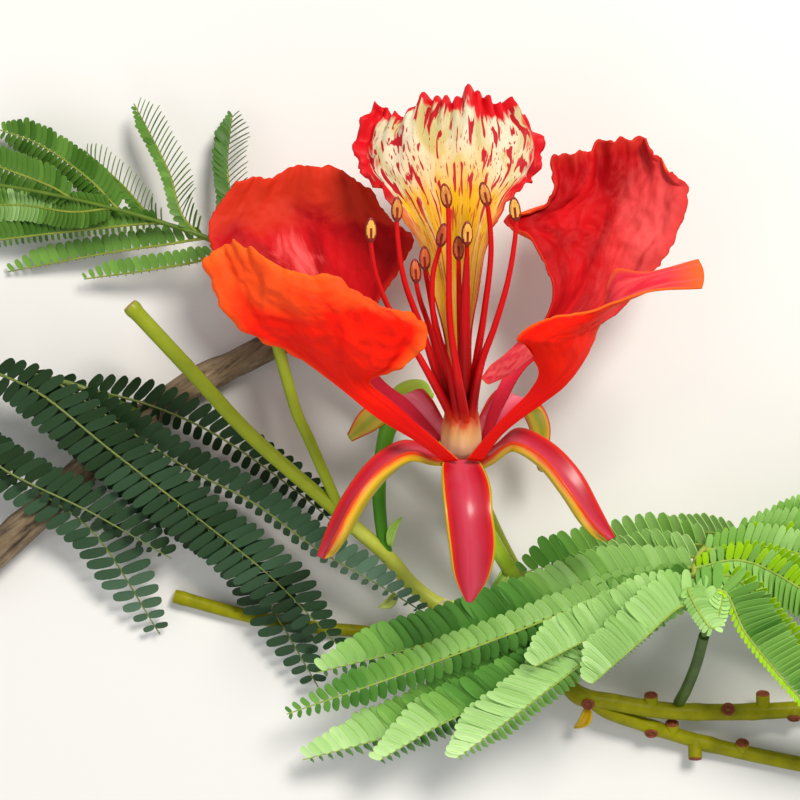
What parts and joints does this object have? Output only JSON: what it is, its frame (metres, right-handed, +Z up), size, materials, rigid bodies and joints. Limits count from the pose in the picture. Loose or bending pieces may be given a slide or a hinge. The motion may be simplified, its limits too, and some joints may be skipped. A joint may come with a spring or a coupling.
{
  "type": "royal poinciana flowering sprig",
  "caption": "Cut sprig of royal poinciana lying down: an open red bloom with a streaked banner petal and long stamens, bare flower stalks with scars, and feathery twice-divided leaves.",
  "frame": {"origin": "under the middle of the sprig, on the surface that it lies on", "axes": "+Z up, away from the surface the sprig lies on; +Y from the hanging front sepal to the banner petal; +X along the sprig to the free ends of the two scarred axes"},
  "size_m": [0.2454, 0.1454, 0.0619],
  "materials": {
    "bark": "rough grey-brown bark",
    "stem": "smooth yellow-green rind",
    "cup": "smooth green",
    "column": "pale cream flushed pink",
    "sepal": "glossy crimson with a yellow-green back",
    "banner": "cream and yellow streaked with crimson",
    "rear_petal": "deep red, softly creased",
    "front_petal": "bright orange-red, softly creased",
    "filament": "crimson, satin",
    "leaf": "sunlit yellow-green, satin",
    "shaded_leaf": "dark blue-green, satin"
  },
  "bodies": {
    "root": {"woody_twig": "bark", "peduncle": "stem", "raceme_axis": "stem", "lower_axis": "stem", "side_axis": "stem", "long_bare_pedicel": "stem", "rear_pedicel": "stem", "green_pedicel": "stem", "bloom_pedicel": "stem", "lower_bare_pedicel": "stem", "right_leaf_stalk": "stem", "left_leaf_stalk": "stem", "upper_leaf_stalk": "stem", "flower_cup": "cup", "pale_column": "column", "sepal_front": "sepal", "sepal_front_left": "sepal", "sepal_front_right": "sepal", "sepal_rear_left": "sepal", "sepal_rear_right": "sepal", "petal_banner": "banner", "petal_rear_left": "rear_petal", "petal_rear_right": "rear_petal", "petal_front_left": "front_petal", "petal_front_right": "front_petal", "stamen_01": "filament", "stamen_02": "filament", "stamen_03": "filament", "stamen_04": "filament", "stamen_05": "filament", "stamen_06": "filament", "stamen_07": "filament", "stamen_08": "filament", "stamen_09": "filament", "stamen_10": "filament", "pistil": "filament", "right_leaf": "leaf", "left_leaf": "shaded_leaf", "upper_left_leaf": "leaf"}
  },
  "joints": []
}
